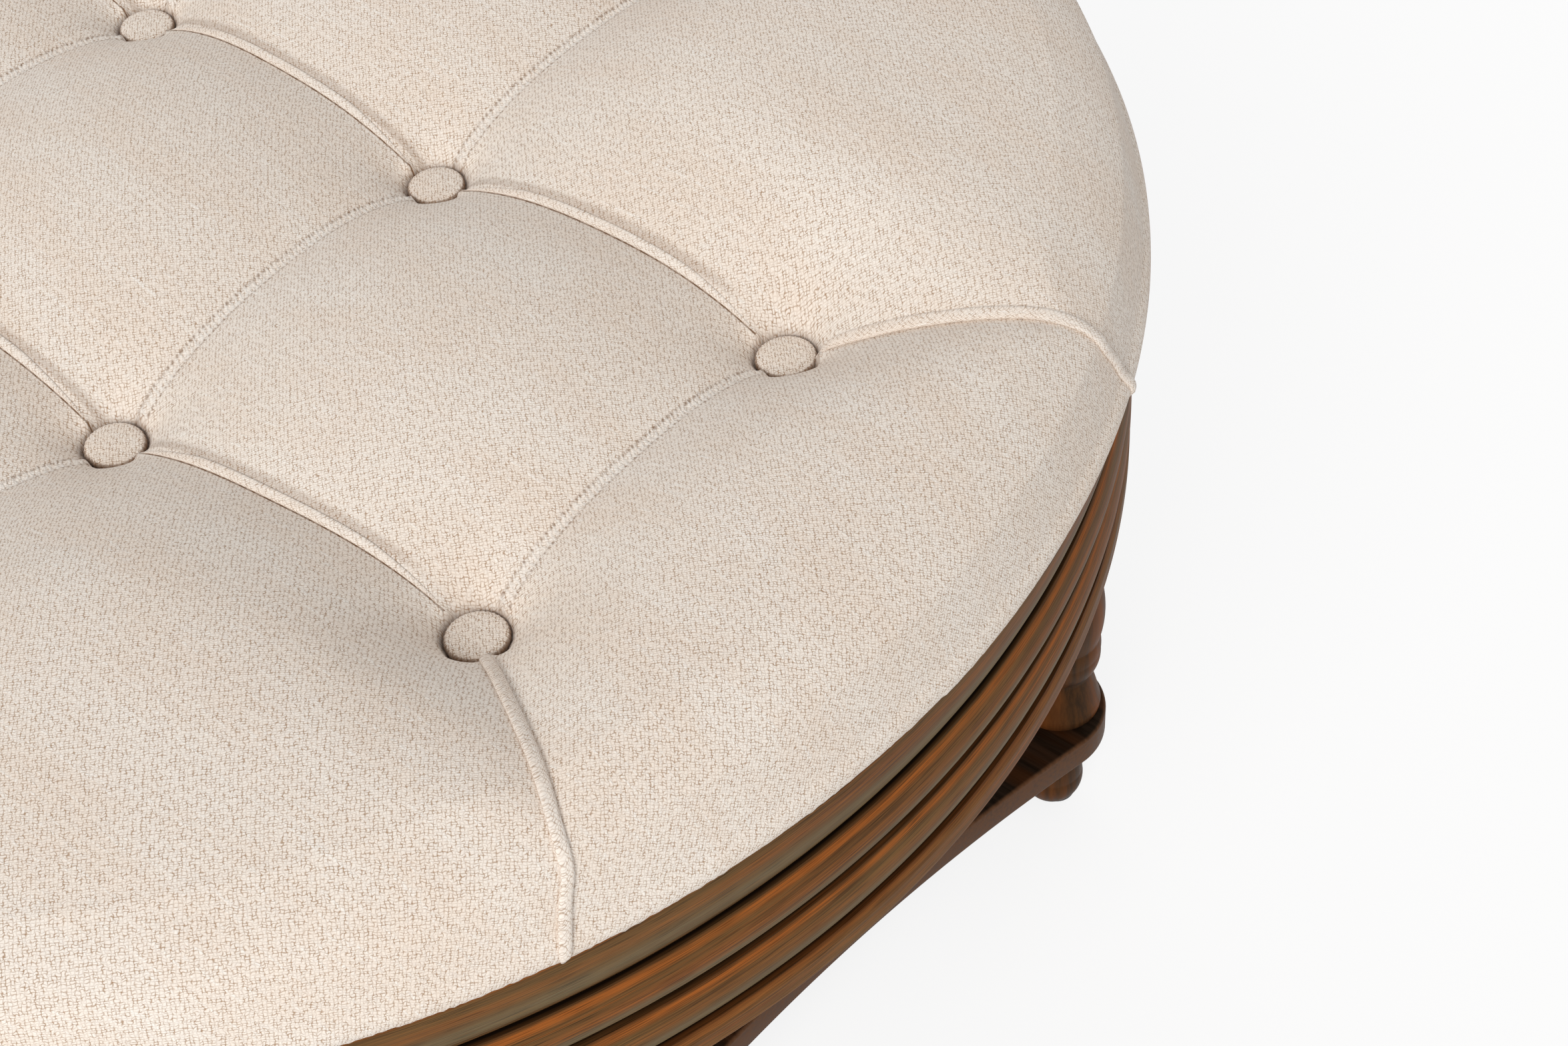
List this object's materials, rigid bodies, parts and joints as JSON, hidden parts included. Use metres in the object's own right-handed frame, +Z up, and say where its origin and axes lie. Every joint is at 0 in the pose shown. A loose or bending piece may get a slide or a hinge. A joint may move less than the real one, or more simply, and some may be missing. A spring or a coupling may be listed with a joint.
{
  "type": "ottoman coffee table",
  "caption": "Round ottoman coffee table: button-tufted linen top over a reeded wood apron, turned legs on bun feet and a lower shelf with hollow sides.",
  "frame": {"origin": "on the floor under the table's axis", "axes": "+Z up along the table's axis, X and Y square to the button rows and midway between the legs"},
  "size_m": [0.8638, 0.8638, 0.5058],
  "materials": {
    "cover_fabric": "undyed linen-look crepe weave with slubs",
    "apron_wood": "reeded moulding, brown stain worn to orange on the crests",
    "turned_wood": "turned and stained, satin lacquer",
    "shelf_wood": "dark stained board with a rounded edge",
    "inner_wood": "plain softwood and plywood, unfinished",
    "foam": "open-cell upholstery foam",
    "under_cloth": "black non-woven dust cloth",
    "twine": "waxed upholstery twine",
    "hardware": "zinc-plated steel",
    "insert_brass": "turned brass",
    "glide_nylon": "dark nylon"
  },
  "bodies": {
    "root": {"apron_rail_1": "apron_wood", "apron_rail_2": "apron_wood", "apron_rail_3": "apron_wood", "apron_rail_4": "apron_wood", "leg_1": "turned_wood", "leg_2": "turned_wood", "leg_3": "turned_wood", "leg_4": "turned_wood", "bun_foot_1": "turned_wood", "bun_foot_2": "turned_wood", "bun_foot_3": "turned_wood", "bun_foot_4": "turned_wood", "corner_block_1": "inner_wood", "corner_block_2": "inner_wood", "corner_block_3": "inner_wood", "corner_block_4": "inner_wood", "lower_shelf": "shelf_wood", "seat_deck": "inner_wood", "foam_core": "foam", "tufted_cushion": "cover_fabric", "cover_hem": "cover_fabric", "tuft_button_1": "cover_fabric", "tuft_button_2": "cover_fabric", "tuft_button_3": "cover_fabric", "tuft_button_4": "cover_fabric", "tuft_button_5": "cover_fabric", "tuft_button_6": "cover_fabric", "tuft_button_7": "cover_fabric", "tuft_button_8": "cover_fabric", "tuft_button_9": "cover_fabric", "tuft_button_10": "cover_fabric", "tuft_button_11": "cover_fabric", "tuft_button_12": "cover_fabric", "tufting_twines": "twine", "twine_washers": "hardware", "dust_cover": "under_cloth", "apron_dowels": "inner_wood", "block_screws": "hardware", "deck_screws": "hardware", "leg_hanger_bolts": "hardware", "leg_inserts": "insert_brass", "foot_dowel_screws": "hardware", "foot_glides": "glide_nylon"}
  },
  "joints": []
}
